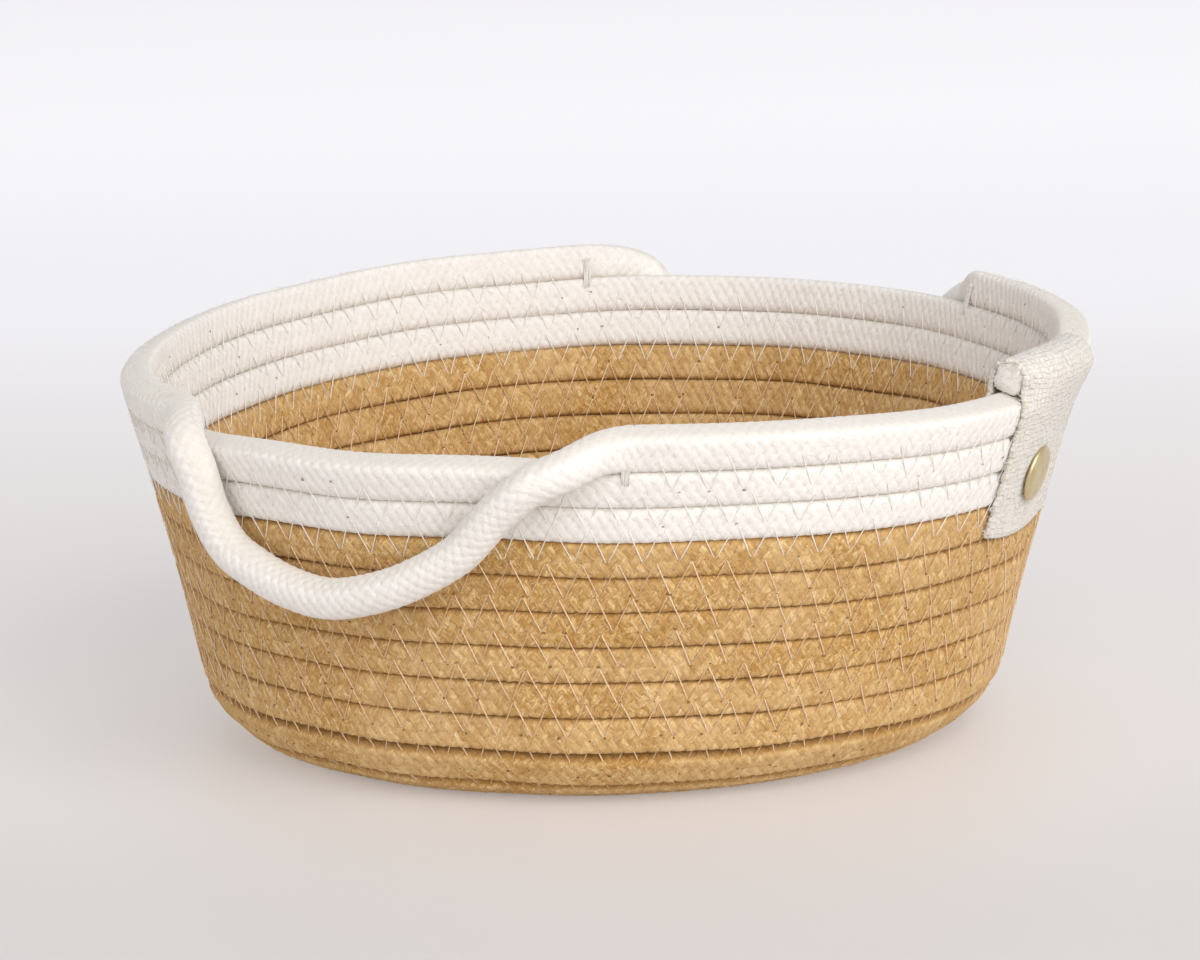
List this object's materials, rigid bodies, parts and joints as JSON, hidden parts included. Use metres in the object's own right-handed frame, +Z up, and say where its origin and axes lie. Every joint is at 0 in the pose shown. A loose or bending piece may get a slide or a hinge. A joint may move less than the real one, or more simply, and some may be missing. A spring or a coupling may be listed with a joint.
{
  "type": "coiled rope basket",
  "caption": "Low round basket of coiled cotton rope, natural rim over a tan wall and base, with two hanging rope loop handles and a folded label.",
  "frame": {"origin": "middle of the flat underside, on the ground", "axes": "+Z up out of the mouth, handles at -Y and +Y, folded label at +X"},
  "size_m": [0.2165, 0.2148, 0.0906],
  "materials": {
    "dyed_rope": "braided cotton rope, tan",
    "natural_rope": "braided cotton rope, undyed",
    "woven_tape": "plain woven cotton tape",
    "brass": "polished",
    "thread": "sewing thread"
  },
  "bodies": {
    "basket": {"base_coil": "dyed_rope", "wall_coil": "dyed_rope", "white_coil": "natural_rope", "rim_left": "natural_rope", "rim_right": "natural_rope", "label": "woven_tape", "rivet": "brass", "rivet_back": "brass"},
    "front_loop_handle": {"front_handle": "natural_rope"},
    "back_loop_handle": {"back_handle": "natural_rope"}
  },
  "joints": [
    {"name": "front_handle_swing", "type": "hinge", "parent": "basket", "child": "front_loop_handle", "pos_m": [-0.00011, -0.08629, 0.07941], "axis": [-0.9999, -0.0032, 0.0126], "range_deg": [0, 155]},
    {"name": "back_handle_swing", "type": "hinge", "parent": "basket", "child": "back_loop_handle", "pos_m": [0.00011, 0.08728, 0.08324], "axis": [0.9999, 0.0032, 0.0124], "range_deg": [0, 155]}
  ]
}
